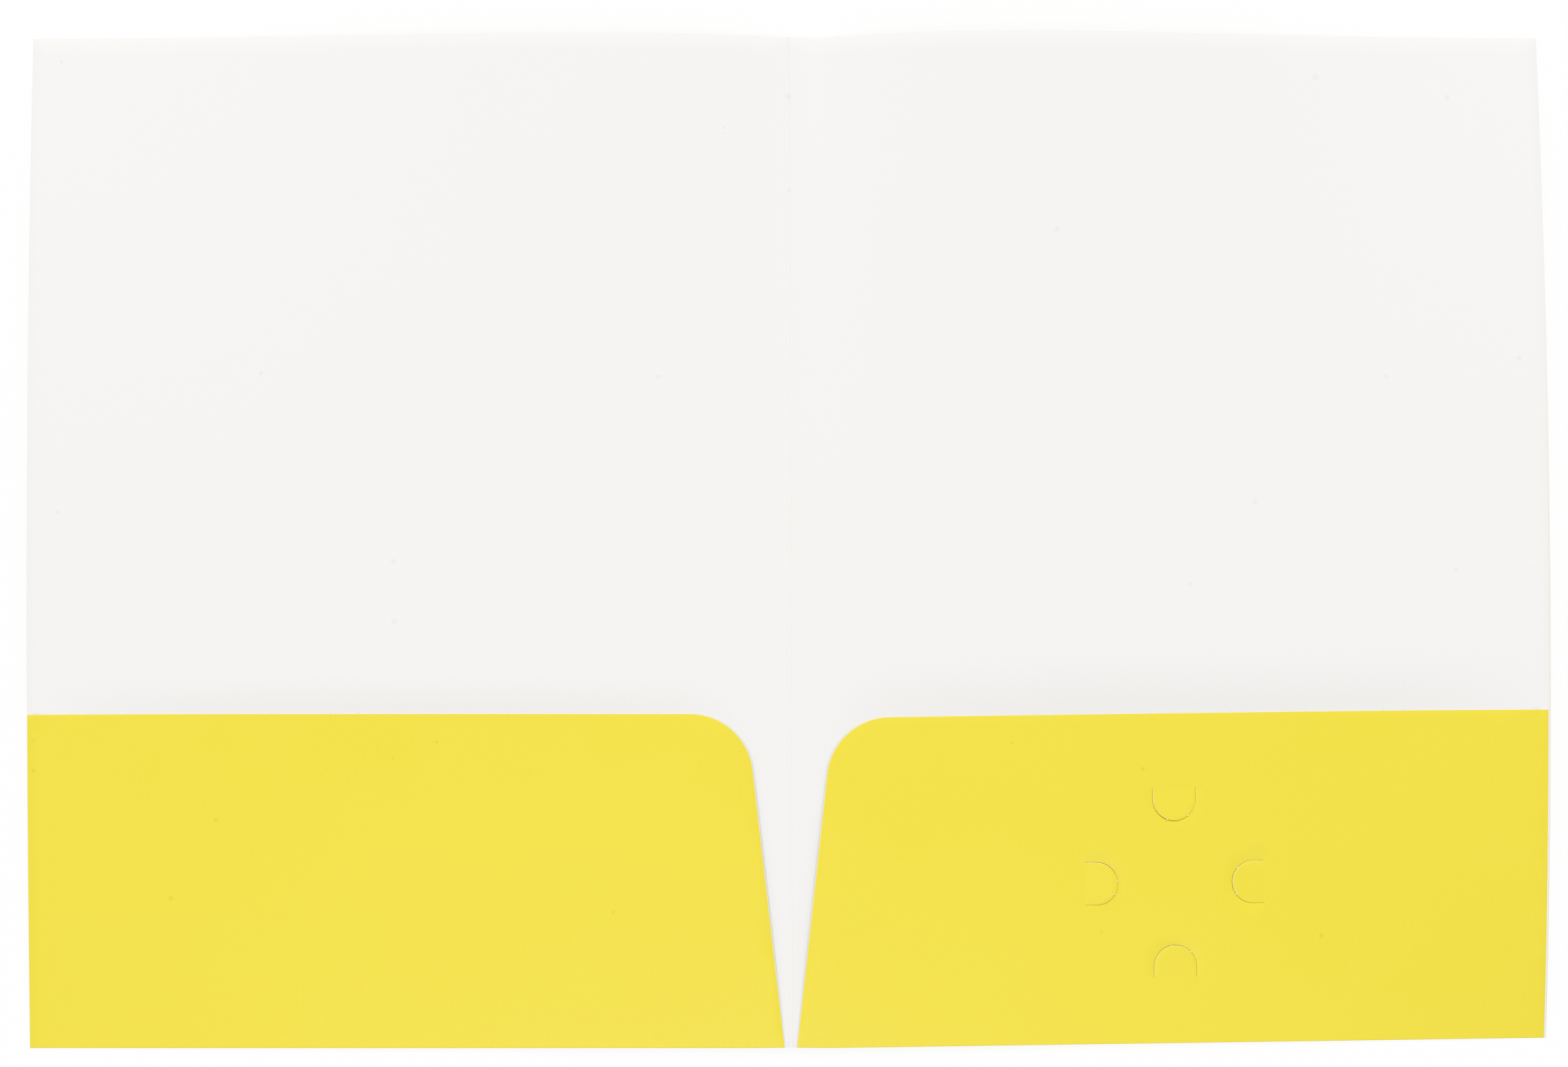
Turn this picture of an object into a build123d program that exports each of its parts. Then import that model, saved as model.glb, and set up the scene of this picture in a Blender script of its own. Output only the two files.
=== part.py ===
from build123d import *
import os

# A two pocket folder of letter size, folded from one die-cut sheet of coated board.
# It lies open with its inside up. X runs from the spine towards the back cover, on the
# right, Y runs up to the top edge, and Z comes out of the inside faces. The origin is on
# the spine's centreline, half way up the covers, on the surface that the folder lies on.
# All sizes are in millimetres.

# Sheet
cover_width = 228.6  # spine centreline to outer edge
cover_height = 304.8
board_thickness = 0.25
glue_thickness = 0.05  # film between a pocket and its cover, and so the pocket's slack

# Spine, a narrow bead pressed between two score lines
spine_width = 0.95  # score line to score line
score_clearance = 0.03  # between a cover's inner edge and the bead's round edge

# Pockets
pocket_height = 100.0
pocket_corner_radius = 19.05  # free corner of the mouth, beside the spine
notch_gap_bottom = 3.45  # between the two pockets, at the bottom fold
notch_gap_top = 25.95  # between the pockets' slanting edges, produced to the mouth
left_pocket_inset = 0.1  # strip of cover that shows beyond a pocket's outer edge
right_pocket_inset = 0.6

# Glue seams, one along each pocket's outer edge
seam_width = 8.0
seam_inset = 2.0  # from the pocket's outer edge
seam_end_margin = 2.0  # bare board at each end of a seam

# Card tongues, four U-shaped cuts in a cross on the right pocket
tongue_width = 12.9  # across the middle of the cut
tongue_length = 10.1  # root line to tip
tongue_slit = 0.2  # width of the cut
tongue_gap_across = 34.7  # tip to tip, left to right
tongue_gap_upright = 37.7  # tip to tip, bottom to top
tongue_cross_across = 116.0  # middle of the cross, from the spine's centreline
tongue_cross_up = 48.5  # middle of the cross, from the bottom edge

# Places that several pieces share
bottom_edge = -cover_height / 2
fold_inner_radius = glue_thickness / 2
fold_outer_radius = fold_inner_radius + board_thickness
fold_line = bottom_edge + fold_outer_radius  # where the flat panels meet a bottom fold
mouth_line = bottom_edge + pocket_height
pocket_underside = board_thickness + glue_thickness
cover_inner_edge = spine_width / 2 + board_thickness / 2 + score_clearance
notch_edge_bottom = notch_gap_bottom / 2
notch_edge_top = notch_gap_top / 2


def panel(outline, underside):
    """A flat piece of board with this outline, standing on the height of its underside."""
    return Pos(0, 0, underside) * extrude(outline, board_thickness)


def cover(pocket_edge):
    """A right-hand cover. Beside the pocket its cut edge runs on down to the bottom edge."""
    outline = Polyline(
        (cover_inner_edge, bottom_edge),
        (notch_edge_bottom, bottom_edge),
        (notch_edge_bottom, fold_line),
        (pocket_edge, fold_line),
        (pocket_edge, bottom_edge),
        (cover_width, bottom_edge),
        (cover_width, -bottom_edge),
        (cover_inner_edge, -bottom_edge),
        close=True,
    )
    return panel(make_face(outline), 0)


def bottom_fold(pocket_edge):
    """The half round where a cover turns up into its pocket, along the bottom edge."""
    ring = Circle(fold_outer_radius) - Circle(fold_inner_radius)
    lower_half = Pos(-fold_outer_radius / 2, 0) * Rectangle(fold_outer_radius, 2 * fold_outer_radius)
    section = Plane.YZ * Pos(fold_line, fold_outer_radius) * (ring & lower_half)
    return Pos(notch_edge_bottom, 0, 0) * extrude(section, pocket_edge - notch_edge_bottom)


def pocket_base(pocket_edge):
    """The half of a pocket that the bottom fold and the glue seam hold down."""
    outline = Polyline(
        (notch_edge_bottom, fold_line),
        (pocket_edge, fold_line),
        (pocket_edge, mouth_line),
        close=True,
    )
    return panel(make_face(outline), pocket_underside)


def pocket_flap(pocket_edge):
    """The free half of a pocket, which bends up when a sheet is slid in at the mouth."""
    outline = make_face(
        Polyline(
            (notch_edge_bottom, fold_line),
            (pocket_edge, mouth_line),
            (notch_edge_top, mouth_line),
            close=True,
        )
    )
    free_corner = outline.vertices().sort_by_distance((notch_edge_top, mouth_line))[0]
    return panel(fillet(free_corner, pocket_corner_radius), pocket_underside)


def glue_seam(pocket_edge):
    """The strip of glue along a pocket's outer edge. It ends below the free half."""
    bend_slope = (mouth_line - fold_line) / (pocket_edge - notch_edge_bottom)
    seam_bottom = fold_line + seam_end_margin
    seam_top = mouth_line - (seam_inset + seam_width) * bend_slope - seam_end_margin
    strip = Rectangle(seam_width, seam_top - seam_bottom, align=(Align.MAX, Align.MIN))
    place = Pos(pocket_edge - seam_inset, seam_bottom, board_thickness)
    return place * extrude(strip, glue_thickness)


def tongue_outline(radius):
    """A tongue that hangs from a root line on the X axis, down to a round tip."""
    straight = tongue_length - tongue_width / 2
    legs = Polyline((-radius, -straight), (-radius, 0), (radius, 0), (radius, -straight))
    tip = ThreePointArc((-radius, -straight), (0, -straight - radius), (radius, -straight))
    return make_face(legs + tip)


def card_tongues():
    """The card tongues, and the windows in the pocket that they are cut from."""
    middle = Pos(tongue_cross_across, bottom_edge + tongue_cross_up)
    tongue = tongue_outline((tongue_width - tongue_slit) / 2)
    window = tongue_outline((tongue_width + tongue_slit) / 2)
    gaps = {
        "top": tongue_gap_upright,
        "left": tongue_gap_across,
        "bottom": tongue_gap_upright,
        "right": tongue_gap_across,
    }
    tongues, windows = {}, []
    for quarter, (side, gap) in enumerate(gaps.items()):
        root = middle * Rot(0, 0, 90 * quarter) * Pos(0, gap / 2 + tongue_length)
        tongues["card_tongue_" + side] = panel(root * tongue, pocket_underside)
        windows.append(panel(root * window, pocket_underside))
    return tongues, windows


def side_pieces(inset):
    """One cover and the pieces of its pocket, as they lie on the right-hand side."""
    pocket_edge = cover_width - inset
    return {
        "cover": cover(pocket_edge),
        "bottom_fold": bottom_fold(pocket_edge),
        "glue_seam": glue_seam(pocket_edge),
        "pocket_base": pocket_base(pocket_edge),
        "pocket_flap": pocket_flap(pocket_edge),
    }


def spine_bead():
    """The bead between the score lines. Its round edges are centred on the fold lines."""
    section = Plane.XZ * Pos(0, board_thickness / 2) * SlotCenterToCenter(spine_width, board_thickness)
    return extrude(section, cover_height / 2, both=True)


right = side_pieces(right_pocket_inset)
left = {name: mirror(piece, about=Plane.YZ) for name, piece in side_pieces(left_pocket_inset).items()}
tongues, windows = card_tongues()
for window in windows:
    right["pocket_base"] -= window
    right["pocket_flap"] -= window

nodes = {"front_cover": left.pop("cover"), "back_cover": right.pop("cover"), "spine_bead": spine_bead()}
nodes.update({"left_" + name: piece for name, piece in left.items()})
nodes.update({"right_" + name: piece for name, piece in right.items()})
nodes.update(tongues)

os.makedirs("parts", exist_ok=True)
for name, piece in nodes.items():
    export_step(piece, f"parts/{name}.step")
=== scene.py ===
import math

import bmesh
import bpy
from mathutils import Matrix, Vector, geometry, kdtree


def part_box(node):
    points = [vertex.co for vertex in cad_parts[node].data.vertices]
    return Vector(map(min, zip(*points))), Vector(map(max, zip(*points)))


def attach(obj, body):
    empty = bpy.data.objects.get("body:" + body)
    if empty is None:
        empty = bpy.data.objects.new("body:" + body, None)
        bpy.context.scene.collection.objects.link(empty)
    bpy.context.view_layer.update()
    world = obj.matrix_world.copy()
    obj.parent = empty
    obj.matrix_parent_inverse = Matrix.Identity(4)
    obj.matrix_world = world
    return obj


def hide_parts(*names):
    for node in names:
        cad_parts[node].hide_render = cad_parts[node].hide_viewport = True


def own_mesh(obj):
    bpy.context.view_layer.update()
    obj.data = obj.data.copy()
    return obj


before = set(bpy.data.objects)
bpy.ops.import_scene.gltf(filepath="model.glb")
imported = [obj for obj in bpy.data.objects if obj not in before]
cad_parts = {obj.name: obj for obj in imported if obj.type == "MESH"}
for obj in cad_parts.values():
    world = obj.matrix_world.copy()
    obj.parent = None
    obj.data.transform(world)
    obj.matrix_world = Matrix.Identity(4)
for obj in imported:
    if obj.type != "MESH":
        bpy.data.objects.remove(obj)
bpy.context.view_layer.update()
mm = 0.001

# Covers. The two halves of one die-cut sheet of board, bare white inside and printed yellow
# outside. The sheet is cut square and scored down its middle. It doesn't lie quite flat: each half
# arches towards its top edge, its outer edge bows up, and it rises just above the pocket.
board_thickness = 0.25 * mm
cover_width = 228.6 * mm
cover_height = 304.8 * mm
bottom_edge = -cover_height / 2
spine_edge = 0.57 * mm
fold_radius = 0.275 * mm
fold_line = bottom_edge + fold_radius
pocket_height = 100.0 * mm
mouth_line = bottom_edge + pocket_height
pocket_inset = {-1: 0.1 * mm, 1: 0.6 * mm}
notch_foot = 1.725 * mm
notch_mouth = 12.975 * mm
free_corner_radius = 19.05 * mm


def beyond_pocket(x, y):
    """How far a point lies outside the edge of its pocket, and less than 0 under the pocket."""
    notch_edge = notch_foot + (notch_mouth - notch_foot) * (y - fold_line) / (mouth_line - fold_line)
    inward = notch_edge + free_corner_radius - abs(x)
    upward = y - mouth_line + free_corner_radius
    corner = math.hypot(max(0, inward), max(0, upward))
    return corner + min(0, max(inward, upward)) - free_corner_radius


spine_rise_bottom = 2.4 * mm
spine_rise_top = 0.4 * mm
edge_bow = {-1: 3.2 * mm, 1: 5.6 * mm}
edge_bow_place = {-1: 0.52, 1: 0.48}
crest_rise = {-1: 5.8 * mm, 1: 7.5 * mm}
crest_place = {-1: 0.28, 1: 0.27}
valley_place = 7.3 * mm
valley_softness = 6.0 * mm
mouth_hollow = {-1: 1.6 * mm, 1: 2.4 * mm}
hollow_reach = {-1: 12 * mm, 1: 19 * mm}
spring_inset = 0.5 * mm


def hump(place, share):
    """A rounded hill from 0 at both ends, 1 high at this place."""
    slope = 1 / place - 1
    return share * max(0, 1 - share) ** slope / (place * (1 - place) ** slope)


def rise(x, y):
    """How far the bowed sheet stands above the table at a point of the flat sheet."""
    up = min(1, max(0, (y - bottom_edge) / cover_height))
    out = min(1, abs(x) / cover_width)
    side = 1 if x > 0 else -1
    spine = spine_rise_bottom * (1 - up) + spine_rise_top * up
    bow = edge_bow[side] * hump(1 - edge_bow_place[side], 1 - up)
    valley_side = 1 if x > valley_place else -1
    reach = cover_width - valley_side * valley_place
    from_valley = math.hypot(x - valley_place, valley_softness) - valley_softness
    share = from_valley / (math.hypot(reach, valley_softness) - valley_softness)
    crest = crest_rise[valley_side] * hump(crest_place[valley_side], share) * up**2
    past = max(0, beyond_pocket(x, y) + spring_inset)
    depth = max(0, 1 - past / hollow_reach[side]) ** 2 * min(1, (y - bottom_edge) / pocket_height)
    hollow = mouth_hollow[side] * depth * (1 - (2 * out - 1) ** 4)
    return spine * (1 - out) + bow * out**2 + crest - hollow


fold_slant = {-1: 0.0026, 1: 0.0053}
fold_level_place = {-1: 57 * mm, 1: 55 * mm}
mouth_slant = {-1: 0.0037, 1: 0.0098}
mouth_level_place = {-1: 17 * mm, 1: 152 * mm}
slant_start = 12 * mm


def slant(x, y):
    """How far up the sheet a point is moved, because the bottom is folded a little askew. That
    slants the bottom edge, and a pocket's mouth more, and fades out at the spine and the top edge."""
    side = 1 if x > 0 else -1
    at_fold = fold_slant[side] * (abs(x) - fold_level_place[side])
    at_mouth = mouth_slant[side] * (abs(x) - mouth_level_place[side])
    up = (y - bottom_edge) / pocket_height
    if up < 1:
        askew = at_fold * (1 - up) + at_mouth * up
    else:
        askew = at_mouth * (-bottom_edge - y) / (-bottom_edge - mouth_line)
    return askew * min(1, abs(x) / slant_start)


def run(start, end, step=3 * mm):
    """Points from start up to end, without end, at most a step apart."""
    start, end = Vector(start), Vector(end)
    count = max(1, math.ceil((end - start).length / step))
    return [start.lerp(end, i / count) for i in range(count)]


def ring_of(corners):
    """A closed line through these corners, with points along it."""
    return [p for a, b in zip(corners, corners[1:] + corners[:1]) for p in run(a, b)]


same_place = 1e-6
line_end_slack = 1e-4


def on_line(point, line):
    """Whether a point in plan lies on a straight line between two points."""
    near, share = geometry.intersect_point_line(point, *line)
    return (near - point).length < same_place and -line_end_slack < share < 1 + line_end_slack


def within(point, loop):
    """Whether a point in plan lies inside a closed line."""
    inside = False
    for a, b in zip(loop, loop[1:] + loop[:1]):
        if (a.y > point.y) != (b.y > point.y):
            if point.x < a.x + (b.x - a.x) * (point.y - a.y) / (b.y - a.y):
                inside = not inside
    return inside


rim_clearance = 0.6
sliver_width = 0.001 * mm
weld_distance = 1e-8


def fill(loops, spacing, creases):
    """Points and triangles that fill the first loop, less the loops cut out of it. Each crease is a
    row of points straight across, where the sheet changes its slope."""
    points, edges = [], []
    for loop in loops:
        first = len(points)
        points += loop
        edges += [(first + i, first + (i + 1) % len(loop)) for i in range(len(loop))]
    low = [min(p[k] for p in loops[0]) for k in (0, 1)]
    high = [max(p[k] for p in loops[0]) for k in (0, 1)]
    across = int((high[0] - low[0]) / spacing)
    upward = int((high[1] - low[1]) / spacing)
    for y in creases:
        points += [Vector((low[0] + i * spacing, y)) for i in range(1, across)]
    rim = kdtree.KDTree(len(points))
    for i, point in enumerate(points):
        rim.insert((*point, 0), i)
    rim.balance()
    for i in range(1, across + 1):
        for j in range(1, upward + 1):
            point = Vector((low[0] + i * spacing, low[1] + j * spacing))
            if rim.find((*point, 0))[2] > rim_clearance * spacing:
                points.append(point)
    filled = geometry.delaunay_2d_cdt(points, edges, [], 0, weld_distance)
    only_outer = [True] + [False] * (len(loops) - 1)
    triangles = []
    for triangle in filled[2]:
        a, b, c = (filled[0][i] for i in triangle)
        longest = max((b - a).length, (c - b).length, (a - c).length)
        sliver = 2 * geometry.area_tri(a, b, c) < sliver_width * longest
        kept = [within((a + b + c) / 3, loop) for loop in loops] == only_outer
        if kept and not sliver:
            triangles.append(triangle)
    return filled[0], triangles


inside_face, print_face, core_face, lit_edge_face = range(4)
crushed_edge = 0.2 * mm
clean_edge = 0.04 * mm
slit_roll = 0.15 * mm
tongue_roll = 0.17 * mm
thinned_part = 0.92
upper_slope = 0.6
facing_slope = 0.05
nick_size = 0.48 * mm
nick_level = 0.8 * board_thickness
nick_shape = (1, 0.85, 0.55)


def cut_board(
    loops, underside, joined, up, down,
    spacing=4 * mm, creases=(), thinned=(), highlight_towards=None, nicks=(),
):
    """A flat piece of board. The die crushes the upper edge of a cut so that the pale core shows, and
    leaves torn nicks where the blank was held together. In a slit the print is rolled down the wall.
    On a tongue, the upper faces of the rolled edge that face the given direction get a pale print, a
    painted highlight where the light falls on that side. Where a piece is joined to its neighbour in
    the same sheet, it keeps a square edge, which is thinned from below if the piece swings over its
    neighbour there. up and down number the faces' finish."""
    points, triangles = fill(loops, spacing, creases)
    sheet = bmesh.new()
    low = []
    for point in points:
        thin = any(on_line(point, line) for line in thinned)
        low.append(sheet.verts.new((*point, underside + (thinned_part * board_thickness if thin else 0))))
    high = [sheet.verts.new((*p, underside + board_thickness)) for p in points]
    sides = {(t[i], t[(i + 1) % 3]) for t in triangles for i in range(3)}
    for a, b, c in triangles:
        sheet.faces.new((high[a], high[b], high[c])).material_index = up
        sheet.faces.new((low[c], low[b], low[a])).material_index = down
    slits = [point for loop in loops[1:] for point in loop]
    crushed, rolled = [], []
    for a, b in sorted(sides):
        if (b, a) in sides:
            continue
        wall = sheet.faces.new((low[a], low[b], high[b], high[a]))
        wall.material_index = core_face
        if any(on_line(points[a], line) and on_line(points[b], line) for line in joined):
            continue
        in_slit = any((points[a] - point).length < same_place for point in slits)
        if in_slit or highlight_towards:
            wall.material_index = up
        (rolled if in_slit else crushed).append(sheet.edges.get((high[a], high[b])))
    bmesh.ops.delete(sheet, geom=[v for v in sheet.verts if not v.link_faces], context="VERTS")
    crush = crushed_edge if up == print_face else clean_edge
    core_or_highlight_finish = core_face
    # On a tongue the rolled edge gets a pale print in place of the bared core: a painted highlight.
    if highlight_towards:
        crush = tongue_roll
        core_or_highlight_finish = lit_edge_face
    for edges, offset, finish in ((crushed, crush, core_or_highlight_finish), (rolled, slit_roll, up)):
        made = bmesh.ops.bevel(
            sheet, geom=edges, offset=offset, offset_type="OFFSET", segments=2, profile=0.5,
            affect="EDGES", loop_slide=False,
        )
        for face in made["faces"]:
            face.normal_update()
            face.material_index = finish
            # Only the upper faces that face the given direction keep the pale print, as a painted
            # highlight on the lit side.
            if highlight_towards:
                if face.normal.z < upper_slope or face.normal.xy.dot(highlight_towards) < facing_slope:
                    face.material_index = up
    for x, y in nicks:
        tuft = Matrix.LocRotScale((x, y, underside + nick_level), None, nick_shape)
        made = bmesh.ops.create_icosphere(sheet, subdivisions=1, radius=nick_size / 2, matrix=tuft)
        for face in {face for vert in made["verts"] for face in vert.link_faces}:
            face.material_index = core_face
    return sheet


sharp_edge = math.radians(30)


def finish_piece(name, sheet, materials, body, node, lift=None):
    """Bows the flat piece as the sheet is bowed, and puts it in the scene on its body."""
    for vert in sheet.verts:
        x, y = vert.co.xy
        vert.co.z += rise(x, y) + (lift(x, y) if lift else 0)
        vert.co.y += slant(x, y)
    mesh = bpy.data.meshes.new(name)
    sheet.to_mesh(mesh)
    sheet.free()
    for material in materials:
        mesh.materials.append(material)
    mesh.shade_smooth()
    mesh.set_sharp_from_angle(angle=sharp_edge)
    piece = bpy.data.objects.new(name, mesh)
    bpy.context.collection.objects.link(piece)
    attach(piece, body)
    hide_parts(node)
    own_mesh(piece)


def new_group(name, inputs, outputs):
    """An empty shader node group with these named inputs and outputs."""
    group = bpy.data.node_groups.new(name, "ShaderNodeTree")
    for label, value in inputs.items():
        socket = group.interface.new_socket(label, in_out="INPUT", socket_type="NodeSocketFloat")
        socket.default_value = value
    for label, kind in outputs.items():
        group.interface.new_socket(label, in_out="OUTPUT", socket_type=kind)
    entry = group.nodes.new("NodeGroupInput").outputs
    result = group.nodes.new("NodeGroupOutput").inputs
    return group, entry, result


def add(tree, kind, options=None, **sockets):
    """A node of this kind. Each socket is given a value, or another node's output to link. A socket
    is called by its name, or by its number after an underscore."""
    node = tree.nodes.new(kind)
    for key, value in (options or {}).items():
        setattr(node, key, value)
    for key, value in sockets.items():
        place = node.inputs[int(key[1:]) if key[1:].isdigit() else key.replace("_", " ")]
        if isinstance(value, bpy.types.NodeSocket):
            tree.links.new(value, place)
        else:
            place.default_value = value
    return node


def effect(tree, group, **inputs):
    """The outputs of a shared node group, with these inputs."""
    return add(tree, "ShaderNodeGroup", {"node_tree": group}, **inputs).outputs


def maths(tree, operation, *values):
    """The outcome of one operation on these values."""
    sockets = {f"_{i}": value for i, value in enumerate(values)}
    return add(tree, "ShaderNodeMath", {"operation": operation}, **sockets).outputs[0]


def scaled(tree, vector, factors):
    """A vector with each part multiplied by its own factor."""
    return add(tree, "ShaderNodeVectorMath", {"operation": "MULTIPLY"}, _0=vector, _1=factors).outputs[0]


def ranged(tree, value, low, high, start, end):
    """A value's range from low to high, stretched to go from start to end."""
    stretch = add(tree, "ShaderNodeMapRange")
    for socket, number in zip(stretch.inputs[1:5], (low, high, start, end)):
        socket.default_value = number
    tree.links.new(value, stretch.inputs[0])
    return stretch.outputs[0]


def mixed(tree, factor, first, second):
    """A colour between two colours."""
    mix = add(tree, "ShaderNodeMix", {"data_type": "RGBA"}, _0=factor, _6=first, _7=second)
    return mix.outputs[2]


# Flat coordinates of the sheet in millimetres, so that the grain doesn't follow the bow.
flat_group, _, flat_out = new_group("flat_sheet", {}, {"Place": "NodeSocketVector"})
place = add(flat_group, "ShaderNodeTexCoord").outputs["Object"]
flat_group.links.new(scaled(flat_group, place, (1 / mm, 1 / mm, 0)), flat_out["Place"])

# Fibres of the board: a fine felt drawn out up the sheet, with a cloudier look-through behind it.
fibre_stretch = (1, 0.45, 1)
felt_low, felt_high = 0.3, 0.7
fibre_group, fibre_in, fibre_out = new_group(
    "board_fibres", {"Fineness": 2.2}, {"Felt": "NodeSocketFloat", "Cloud": "NodeSocketFloat"}
)
flat = effect(fibre_group, flat_group)["Place"]
drawn_out = scaled(fibre_group, flat, fibre_stretch)
felt = add(
    fibre_group, "ShaderNodeTexNoise",
    Vector=drawn_out, Scale=fibre_in["Fineness"], Detail=4, Roughness=0.65,
)
cloud = add(fibre_group, "ShaderNodeTexNoise", Vector=flat, Scale=0.02, Detail=3, Roughness=0.5)
fibre_group.links.new(felt.outputs["Fac"], fibre_out["Felt"])
fibre_group.links.new(cloud.outputs["Fac"], fibre_out["Cloud"])

# Specks: stray fibres and dust in the board, of several sizes, soft at their edges and far apart.
smallest_speck = 0.4
speck_core = 0.3
speck_group, speck_in, speck_out = new_group(
    "specks", {"Spread": 0.06, "Size": 0.02, "Share": 0.3}, {"Mask": "NodeSocketFloat"}
)
flat = effect(speck_group, flat_group)["Place"]
cells = add(
    speck_group, "ShaderNodeTexVoronoi", {"voronoi_dimensions": "2D"},
    Vector=flat, Scale=speck_in["Spread"],
)
chances = add(speck_group, "ShaderNodeSeparateColor", Color=cells.outputs["Color"]).outputs
chosen = maths(speck_group, "LESS_THAN", chances["Red"], speck_in["Share"])
size_share = maths(speck_group, "MULTIPLY_ADD", chances["Green"], 1 - smallest_speck, smallest_speck)
size = maths(speck_group, "MULTIPLY", size_share, speck_in["Size"])
from_middle = maths(speck_group, "DIVIDE", cells.outputs["Distance"], size)
close = ranged(speck_group, from_middle, speck_core, 1, 1, 0)
speck_group.links.new(maths(speck_group, "MULTIPLY", close, chosen), speck_out["Mask"])


def new_material(name, roughness):
    """A material with its shader, and the tree to add to."""
    material = bpy.data.materials.new(name)
    material.use_nodes = True
    shader = material.node_tree.nodes["Principled BSDF"]
    shader.inputs["Roughness"].default_value = roughness
    return material, material.node_tree, shader


def felt_part(tree, fibres, start, end):
    """The felt's tone, stretched to go from start to end."""
    return ranged(tree, fibres["Felt"], felt_low, felt_high, start, end)


def raise_felt(tree, shader, fibres, strength, height):
    """Lets the felt stand up a little in the shader's normal."""
    bump = add(tree, "ShaderNodeBump", Strength=strength, Distance=height, Height=fibres["Felt"])
    tree.links.new(bump.outputs[0], shader.inputs["Normal"])


white_inside = (0.905, 0.896, 0.879, 1)
white_shade = (0.865, 0.853, 0.830, 1)
dust_grey = (0.52, 0.47, 0.40, 1)
cream_print_and_bounce = (0.80, 0.68, 0.42, 1)
rim_start = cover_width - 0.6 * mm
rim_top = 90 * mm
rim_full = -20 * mm

inside_board, tree, shader = new_material("white_inside", 0.7)
fibres = effect(tree, fibre_group, Fineness=1.6)
cloud_part = ranged(tree, fibres["Cloud"], 0.35, 0.7, 0, 0.25)
dust = effect(tree, speck_group, Spread=0.05, Size=0.068, Share=0.065)["Mask"]
tone = mixed(tree, felt_part(tree, fibres, 0, 0.16), white_inside, white_shade)
tone = mixed(tree, cloud_part, tone, white_inside)
tone = mixed(tree, ranged(tree, dust, 0, 1, 0, 0.12), tone, dust_grey)
# The right cover's outer edge is painted cream, from above its middle downwards. Beside the pocket the
# cream is painted shade and yellow light bounced off the pocket; higher up it is the yellow print showing
# at the cut edge.
flat = add(tree, "ShaderNodeSeparateXYZ", Vector=effect(tree, flat_group)["Place"]).outputs
beyond_rim = ranged(tree, flat["X"], rim_start / mm, cover_width / mm, 0, 1)
down_rim = ranged(tree, flat["Y"], rim_top / mm, rim_full / mm, 0, 0.5)
cream_print_and_bounce_part = maths(tree, "MULTIPLY", beyond_rim, down_rim)
tree.links.new(mixed(tree, cream_print_and_bounce_part, tone, cream_print_and_bounce), shader.inputs["Base Color"])
tree.links.new(felt_part(tree, fibres, 0.62, 0.78), shader.inputs["Roughness"])
raise_felt(tree, shader, fibres, 0.12, 0.02 * mm)

print_yellow = (0.882, 0.738, 0.040, 1)
print_deep = (0.852, 0.678, 0.018, 1)
print_pale = (0.887, 0.751, 0.052, 1)
dust_brown = (0.50, 0.36, 0.01, 1)

outside_print, tree, shader = new_material("yellow_outside", 0.42)
fibres = effect(tree, fibre_group, Fineness=0.9)
cloud_part = ranged(tree, fibres["Cloud"], 0.35, 0.65, 0, 0.2)
dust = effect(tree, speck_group, Spread=0.075, Size=0.075, Share=0.05)["Mask"]
tone = mixed(tree, felt_part(tree, fibres, 0, 0.18), print_yellow, print_deep)
tone = mixed(tree, cloud_part, tone, print_pale)
tone = mixed(tree, ranged(tree, dust, 0, 1, 0, 0.2), tone, dust_brown)
tree.links.new(tone, shader.inputs["Base Color"])
tree.links.new(felt_part(tree, fibres, 0.36, 0.46), shader.inputs["Roughness"])
raise_felt(tree, shader, fibres, 0.1, 0.02 * mm)

core_cream = (0.91, 0.88, 0.77, 1)
core_shade = (0.84, 0.79, 0.62, 1)

cut_core, tree, shader = new_material("cut_core", 0.9)
fibres = effect(tree, fibre_group, Fineness=6)
tone = mixed(tree, felt_part(tree, fibres, 0, 0.5), core_cream, core_shade)
tree.links.new(tone, shader.inputs["Base Color"])
raise_felt(tree, shader, fibres, 0.3, 0.03 * mm)

# Pale print for the tongues' rolled edges on the side the light falls on: a painted highlight.
edge_highlight_yellow = (0.93, 0.86, 0.40, 1)

edge_highlight_print, tree, shader = new_material("edge_highlight_print", 0.5)
fibres = effect(tree, fibre_group, Fineness=3)
tone = mixed(tree, felt_part(tree, fibres, 0, 0.5), edge_highlight_yellow, print_yellow)
tree.links.new(tone, shader.inputs["Base Color"])

board_finishes = (inside_board, outside_print, cut_core, edge_highlight_print)
cover_creases = (mouth_line - 2 * spring_inset, mouth_line - spring_inset, mouth_line)
for node, side in (("front_cover", -1), ("back_cover", 1)):
    pocket_edge = cover_width - pocket_inset[side]
    corners = [
        (side * spine_edge, bottom_edge),
        (side * notch_foot, bottom_edge),
        (side * notch_foot, fold_line),
        (side * pocket_edge, fold_line),
        (side * pocket_edge, bottom_edge),
        (side * cover_width, bottom_edge),
        (side * cover_width, -bottom_edge),
        (side * spine_edge, -bottom_edge),
    ]
    joined = [
        (Vector(corners[2]), Vector(corners[3])),
        (Vector(corners[7]), Vector(corners[0])),
    ]
    loops = [ring_of(corners[::side])]
    sheet = cut_board(loops, 0, joined, up=inside_face, down=print_face, creases=cover_creases)
    finish_piece(node + "_board", sheet, board_finishes, node, node)

# Spine. A narrow bead pressed up between two score lines, so that the sheet folds on both.
# It is the same board as the covers, and stands a little proud of their inside.
spine_half = 0.475 * mm
bead_round = board_thickness / 2
bead_crown = 0.04 * mm
bead_steps = 12
long_step = 4 * mm


def bead_section():
    """The bead's outline, seen from its end: over the top from left to right, and back below."""
    reach = spine_half + bead_round
    top, under = [], []
    for i in range(bead_steps + 1):
        x = reach * -math.cos(math.pi * i / bead_steps)
        past = max(0, abs(x) - spine_half) / bead_round
        half = bead_round * math.sqrt(max(0, 1 - past**2))
        crown = bead_crown * math.cos(math.pi / 2 * x / reach) ** 2
        top.append((x, bead_round + half + crown))
        under.append((x, bead_round - half + crown))
    return top + under[-2:0:-1]


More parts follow.
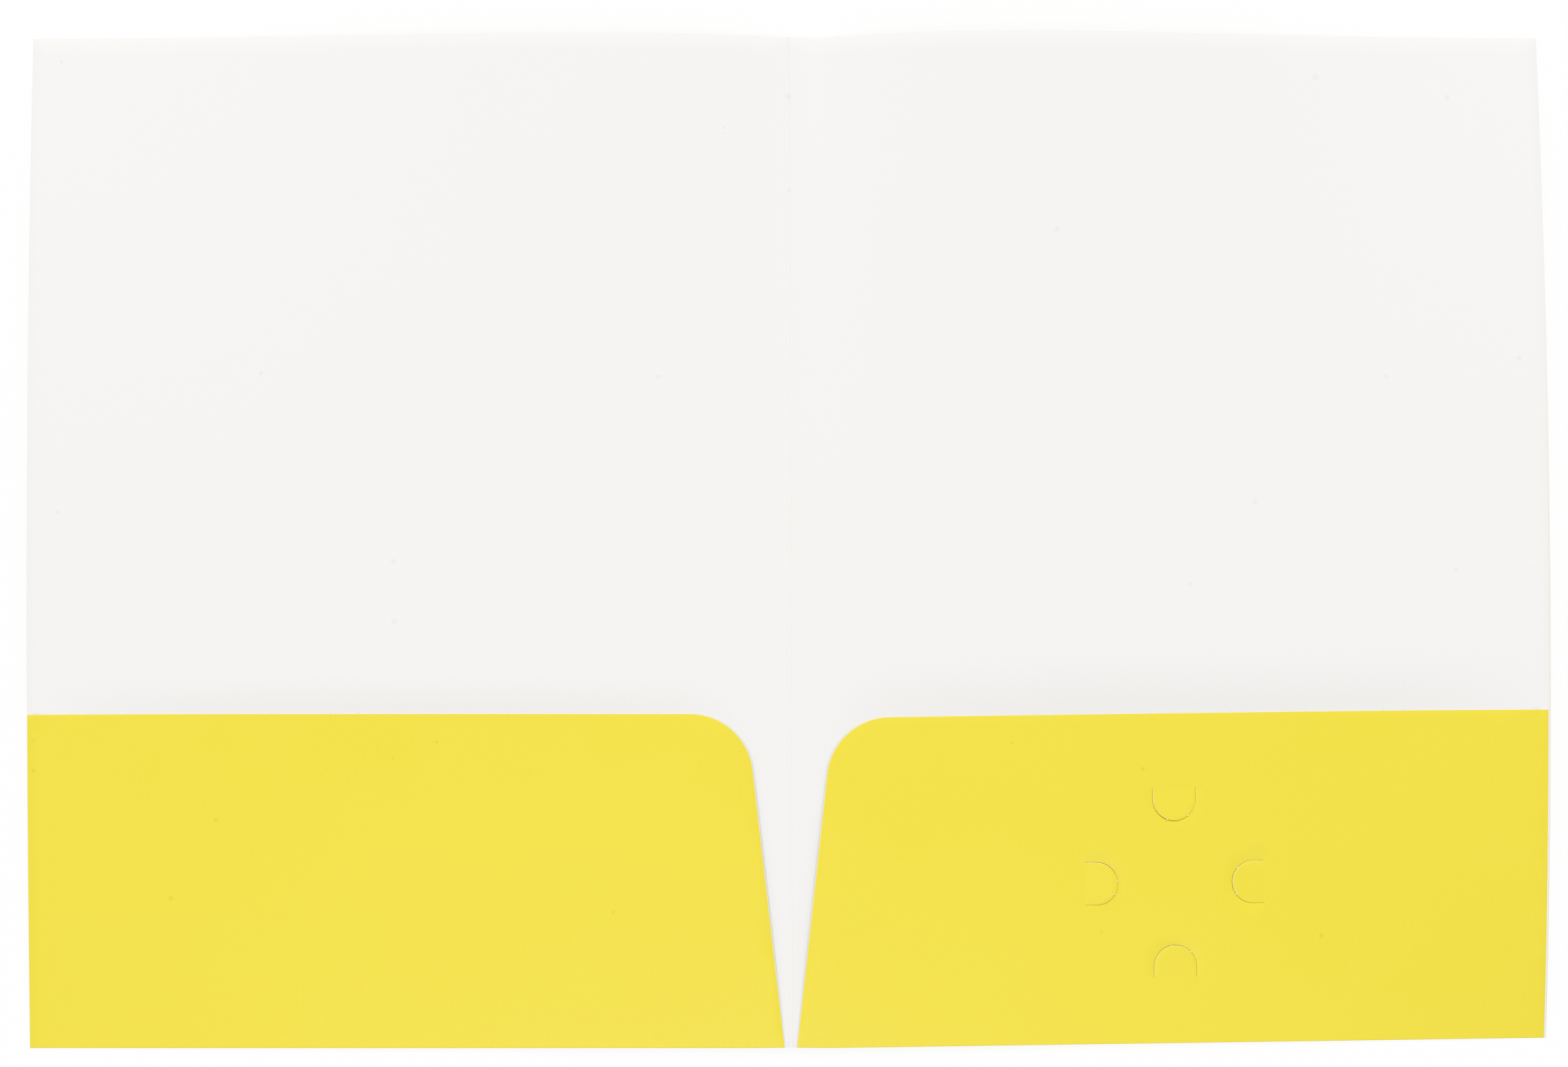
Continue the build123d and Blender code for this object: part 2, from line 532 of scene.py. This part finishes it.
def skin(rings, finishes, end_finish):
    """A closed skin over rings of points, with a finish for each side of a ring, and for the ends."""
    sheet = bmesh.new()
    rows = [[sheet.verts.new(point) for point in ring] for ring in rings]
    for here, beyond in zip(rows, rows[1:]):
        for i, finish in enumerate(finishes):
            j = (i + 1) % len(finishes)
            sheet.faces.new((here[i], here[j], beyond[j], beyond[i])).material_index = finish
    for end in (rows[0], rows[-1]):
        sheet.faces.new(end).material_index = end_finish
    bmesh.ops.recalc_face_normals(sheet, faces=sheet.faces)
    return sheet


stations = [p.y for p in run((0, bottom_edge), (0, -bottom_edge), long_step)] + [-bottom_edge]
rings = [[(x, y, z) for x, z in bead_section()] for y in stations]
sheet = skin(rings, bead_steps * [inside_face] + bead_steps * [print_face], core_face)
finish_piece("spine_bead_board", sheet, board_finishes, "spine", "spine_bead")

# Bottom folds. The sheet is turned up along its bottom edge, printed side out, so that the
# edge is a tight half round of yellow board between the cover and its pocket.
fold_steps = 8

outer_turns = range(fold_steps + 1)
section = []
for radius, turns in ((fold_radius, outer_turns), (fold_radius - board_thickness, outer_turns[::-1])):
    for turn in turns:
        angle = math.pi * turn / fold_steps
        section.append((fold_line - radius * math.sin(angle), fold_radius - radius * math.cos(angle)))
finishes = fold_steps * [print_face] + (fold_steps + 2) * [inside_face]
for node, body, side in (("left_bottom_fold", "front_cover", -1), ("right_bottom_fold", "back_cover", 1)):
    pocket_edge = cover_width - pocket_inset[side]
    stations = [p.x for p in run((notch_foot, 0), (pocket_edge, 0))] + [pocket_edge]
    rings = [[(side * x, y, z) for y, z in section] for x in stations]
    sheet = skin(rings, finishes, core_face)
    finish_piece(node + "_board", sheet, board_finishes, body, node)

# Glue seams. A strip of clear white glue along each pocket's outer edge, out of sight between
# the cover and the pocket. Its edges wander a little.
glue_finish = 0
glue_pale = (0.93, 0.92, 0.86, 1)
glue_deep = (0.85, 0.83, 0.73, 1)
glue_wander = 0.6 * mm

dried_glue, tree, shader = new_material("dried_glue", 0.35)
fibres = effect(tree, fibre_group, Fineness=0.6)
tone = mixed(tree, felt_part(tree, fibres, 0, 1), glue_pale, glue_deep)
tree.links.new(tone, shader.inputs["Base Color"])
raise_felt(tree, shader, fibres, 0.3, 0.02 * mm)

for node, body in (("left_glue_seam", "front_cover"), ("right_glue_seam", "back_cover")):
    low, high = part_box(node)
    stations = [p.y for p in run((0, low.y), (0, high.y), long_step)] + [high.y]
    rings = []
    for i, y in enumerate(stations):
        wander = glue_wander * math.sin(2.1 * i) * math.cos(0.7 * i)
        left, right = low.x + glue_wander + wander, high.x - glue_wander + wander
        rings.append([(left, y, low.z), (right, y, low.z), (right, y, high.z), (left, y, high.z)])
    sheet = skin(rings, 4 * [glue_finish], glue_finish)
    finish_piece(node + "_film", sheet, (dried_glue,), body, node)

# Pockets. The bottom of the sheet, turned up so that its yellow outside shows, and glued down
# along its outer edge. Each gapes beside the notch. It is one panel, in two pieces here because
# it bends along the line between its held ends when its free corner is lifted.
glue_film = 0.05 * mm
pocket_underside = board_thickness + glue_film
seam_reach = 10.0 * mm
pocket_gape = {-1: 0.8 * mm, 1: 0.95 * mm}
gape_scale = 2.3
gape_foot = 0.7


def gape(x, y):
    """How far a pocket stands off its cover: held at the fold and the glue, sprung beside the notch."""
    side = 1 if x > 0 else -1
    held = cover_width - pocket_inset[side] - seam_reach
    up = min(1, max(0, (y - fold_line) / (mouth_line - fold_line)))
    inward = min(1, max(0, (held - abs(x)) / (held - notch_mouth)))
    return pocket_gape[side] * gape_scale * up**gape_foot * (1 - up**2) * inward**3


pocket_swing = math.radians(18)
swing_margin = 1.15
swing_gap = 0.12 * mm


def swing_room(line, limit):
    """How far a piece is cut back from the line that it turns on, which lies in the flat sheet under
    the bowed board, so that its edge comes to rest on its neighbour when it is turned fully."""
    height = max(rise(*point) + gape(*point) for point in line)
    return swing_margin * math.tan(limit / 2) * height + swing_gap


bend_steps = 60
bend_overrun = 20 * mm


def bend_room(point):
    """How far a pocket's two pieces part from the line that the free one turns on, at a point of it."""
    return swing_room([point], pocket_swing) + max(0, -slant(*point))


def bend_line(side):
    """Points on the line where a pocket's two pieces part, from the notch up to the mouth."""
    foot = Vector((side * notch_foot, fold_line))
    notch_top = Vector((side * notch_mouth, mouth_line))
    outer_mouth = Vector((side * (cover_width - pocket_inset[side]), mouth_line))
    along = (outer_mouth - foot).normalized()
    inward = side * along.orthogonal()
    overrun = along * bend_overrun
    ends = []
    for end, edge in ((foot, (foot, notch_top)), (outer_mouth, (notch_top, outer_mouth))):
        middle = end + inward * bend_room(end)
        ends.append(geometry.intersect_line_line_2d(middle - overrun, middle + overrun, *edge))
    first, last = ((end - foot).dot(along) for end in ends)
    between = []
    for i in range(1, bend_steps):
        point = foot + along * (first + (last - first) * i / bend_steps)
        between.append(point + inward * bend_room(point))
    return [ends[0], *between, ends[1]]


corner_steps = 16


def free_corner(side):
    """Points round the pocket's free corner, from the mouth down to the slanting edge."""
    along_mouth = Vector((1, 0))
    along_notch = Vector((notch_foot - notch_mouth, fold_line - mouth_line)).normalized()
    half_turn = math.acos(along_mouth.dot(along_notch)) / 2
    corner = Vector((notch_mouth, mouth_line))
    inward = (along_mouth + along_notch).normalized()
    middle = corner + inward * free_corner_radius / math.sin(half_turn)
    start = corner + along_mouth * free_corner_radius / math.tan(half_turn) - middle
    turn = math.pi - 2 * half_turn
    points = []
    for i in range(corner_steps + 1):
        angle = turn * i / corner_steps
        x = start.x * math.cos(angle) - start.y * math.sin(angle)
        y = start.x * math.sin(angle) + start.y * math.cos(angle)
        points.append((side * (middle.x + x), middle.y + y))
    return points


# Card cuts, four U-shaped slits in a cross, whose tongues hold a card on the right pocket.
tongue_half = 6.45 * mm
tongue_length = 10.1 * mm
slit = 0.035 * mm
tongue_swing = math.radians(30)
tongue_gap = {"top": 37.7 * mm, "left": 34.7 * mm, "bottom": 37.7 * mm, "right": 34.7 * mm}
cross_middle = Vector((116.0 * mm, bottom_edge + 48.5 * mm))
tongue_step = 1.5 * mm
tip_steps = 24


def turned(point, quarter):
    """A point turned by quarter turns, anticlockwise."""
    x, y = point
    for _ in range(quarter):
        x, y = -y, x
    return Vector((x, y))


def tongue_loop(half, quarter, gap, root):
    """A tongue's outline: from its root line down to its round tip, turned to its place."""
    shoulder = gap / 2 + tongue_half
    points = run((half, root), (-half, root), tongue_step)
    points += run((-half, root), (-half, shoulder), tongue_step)
    for i in range(tip_steps):
        angle = math.pi * i / tip_steps
        points.append(Vector((-half * math.cos(angle), shoulder - half * math.sin(angle))))
    points += run((half, shoulder), (half, root), tongue_step)
    return [cross_middle + turned(point, quarter) for point in points]


def root_line(quarter, root):
    """The line where a tongue is joined to the pocket, and beyond it a little at both ends."""
    half = tongue_half + slit
    return tuple(cross_middle + turned((x, root), quarter) for x in (-half, half))


windows, roots, root_places = {}, {}, {}
for quarter, (name, gap) in enumerate(tongue_gap.items()):
    root = gap / 2 + tongue_length
    root -= swing_room(root_line(quarter, root), tongue_swing)
    root_places[name] = root
    windows[name] = tongue_loop(tongue_half + slit / 2, quarter, gap, root)
    roots[name] = root_line(quarter, root)

mouth_nicks = {-1: (-138.3 * mm, -129.9 * mm), 1: (179.4 * mm, 185.5 * mm, 219.9 * mm)}
edge_nicks = {-1: (), 1: (-60.1 * mm, -91.4 * mm)}
base_cuts = {-1: (), 1: ("bottom", "right")}
flap_cuts = {-1: (), 1: ("top", "left")}
bend_parting = Vector((0, 0.002 * mm))

for side, prefix, cover in ((-1, "left_", "front_cover"), (1, "right_", "back_cover")):
    pocket_edge = side * (cover_width - pocket_inset[side])
    foot = (side * notch_foot, fold_line)
    outer_foot = (pocket_edge, fold_line)
    outer_mouth = (pocket_edge, mouth_line)
    bend = bend_line(side)

    outline = ring_of([foot, outer_foot, outer_mouth, *bend[::-1]][::side])
    loops = [outline] + [windows[cut] for cut in base_cuts[side]]
    joined = [(Vector(foot), Vector(outer_foot)), *zip(bend, bend[1:])]
    joined += [roots[cut] for cut in base_cuts[side]]
    torn = [(pocket_edge, y) for y in edge_nicks[side]]
    sheet = cut_board(loops, pocket_underside, joined, up=print_face, down=inside_face, nicks=torn)
    finish_piece(
        prefix + "pocket_base_board", sheet, board_finishes, cover,
        prefix + "pocket_base", gape,
    )

    bend = [point + bend_parting for point in bend]
    bend_parts = list(zip(bend, bend[1:]))
    outline = ring_of([*bend, *free_corner(side)][::side])
    loops = [outline] + [windows[cut] for cut in flap_cuts[side]]
    joined = bend_parts + [roots[cut] for cut in flap_cuts[side]]
    torn = [(x, mouth_line) for x in mouth_nicks[side]]
    sheet = cut_board(
        loops, pocket_underside, joined, up=print_face, down=inside_face, thinned=bend_parts, nicks=torn,
    )
    finish_piece(
        prefix + "pocket_flap_board", sheet, board_finishes, prefix + "flap",
        prefix + "pocket_flap", gape,
    )

# Card tongues. The flaps of board inside the card cuts. They have sprung up a little at
# their tips, so that their rolled edge shows, with a painted highlight in pale print on the side towards
# the spine and the top, where the light falls.
tip_lift = {"top": 0.5 * mm, "left": 0.7 * mm, "bottom": 0.3 * mm, "right": 0.32 * mm}
nick_turns = {"top": (-19.9, 40.2), "left": (7.4, -29.3), "bottom": (10.8, -46.1), "right": (-41.6, 34.2)}
tongue_parting = 0.005 * mm
# The side from which the light falls on the tongues' rolled edges, which get a painted highlight there.
painted_light_side = Vector((-0.6, 0.8))

for quarter, (name, gap) in enumerate(tongue_gap.items()):
    root = root_places[name] - tongue_parting
    loop = tongue_loop(tongue_half - slit / 2, quarter, gap, root)
    hinge = root_line(quarter, root)
    torn = []
    for turn in nick_turns[name]:
        tip = Vector((0, -tongue_half))
        tip.rotate(Matrix.Rotation(math.radians(turn), 2))
        torn.append(cross_middle + turned((tip.x, tip.y + gap / 2 + tongue_half), quarter))
    sheet = cut_board(
        [loop], pocket_underside, [hinge], up=print_face, down=inside_face, spacing=tongue_step,
        thinned=[hinge], highlight_towards=painted_light_side, nicks=torn,
    )
    outward = turned((0, -1), quarter)

    def sprung(x, y):
        """The pocket's own height, and the tongue's spring towards its tip."""
        reach = max(0, (Vector((x, y)) - hinge[0]).dot(outward)) / tongue_length
        return gape(x, y) + tip_lift[name] * reach

    finish_piece(
        "card_tongue_" + name + "_board", sheet, board_finishes, "tongue_" + name,
        "card_tongue_" + name, sprung,
    )

# Table, light and camera. A white table under a soft sky, with a wide softbox behind and a weak
# one in front, and a camera that looks almost straight down on the open folder.
white = (1, 1, 1, 1)
table_half = 4.0
table_level = -0.03 * mm
table_white = (0.96, 0.96, 0.96, 1)
table_glow = 0.88

table_corners = [(-1, -1), (1, -1), (1, 1), (-1, 1)]
table_mesh = bpy.data.meshes.new("table")
table_mesh.from_pydata(
    [(table_half * x, table_half * y, table_level) for x, y in table_corners], [], [(0, 1, 2, 3)]
)
table = bpy.data.objects.new("table", table_mesh)
bpy.context.collection.objects.link(table)
white_table, tree, shader = new_material("white_table", 0.9)
shader.inputs["Base Color"].default_value = table_white
rays = add(tree, "ShaderNodeLightPath").outputs
seen = maths(tree, "MULTIPLY", rays["Is Camera Ray"], table_glow)
glow = add(tree, "ShaderNodeEmission", Color=white, Strength=1)
surface = add(tree, "ShaderNodeMixShader", _0=seen, _1=shader.outputs[0], _2=glow.outputs[0])
tree.links.new(surface.outputs[0], tree.nodes["Material Output"].inputs["Surface"])
table_mesh.materials.append(white_table)

sky_strength = 0.563
seen_sky_strength = 1

sky = bpy.data.worlds.new("studio_sky")
sky.use_nodes = True
bpy.context.scene.world = sky
tree = sky.node_tree
rays = add(tree, "ShaderNodeLightPath").outputs
seen = maths(tree, "MAXIMUM", rays["Is Camera Ray"], rays["Is Glossy Ray"])
seen = maths(tree, "MAXIMUM", seen, rays["Is Transmission Ray"])
background = tree.nodes["Background"].inputs
background["Color"].default_value = white
tree.links.new(ranged(tree, seen, 0, 1, sky_strength, seen_sky_strength), background["Strength"])

for name, width, depth, power, place in (
    ("back_softbox", 4.2, 3.1, 202, (-0.2, 4.4, 4.9)),
    ("front_softbox", 1.7, 0.9, 14, (-0.25, -1.5, 2.7)),
):
    lamp = bpy.data.lights.new(name, "AREA")
    lamp.shape = "RECTANGLE"
    lamp.size, lamp.size_y = width, depth
    lamp.energy = power
    softbox = bpy.data.objects.new(name, lamp)
    softbox.location = place
    softbox.rotation_euler = (-softbox.location).to_track_quat("-Z", "Y").to_euler()
    bpy.context.collection.objects.link(softbox)

sensor_width = 36
photo_width = 2324
focal_pixels = 2347.7
camera_place = (-5.58 * mm, -5.11 * mm, 480 * mm)
camera_turn = (0.828, -0.480, -0.178)

lens = bpy.data.cameras.new("camera")
lens.sensor_width = sensor_width
lens.lens = focal_pixels * sensor_width / photo_width
lens.clip_start = 0.01
camera = bpy.data.objects.new("camera", lens)
camera.location = camera_place
camera.rotation_mode = "ZYX"
camera.rotation_euler = [math.radians(turn) for turn in camera_turn]
bpy.context.collection.objects.link(camera)
bpy.context.scene.camera = camera
bpy.context.scene.view_settings.view_transform = "Standard"
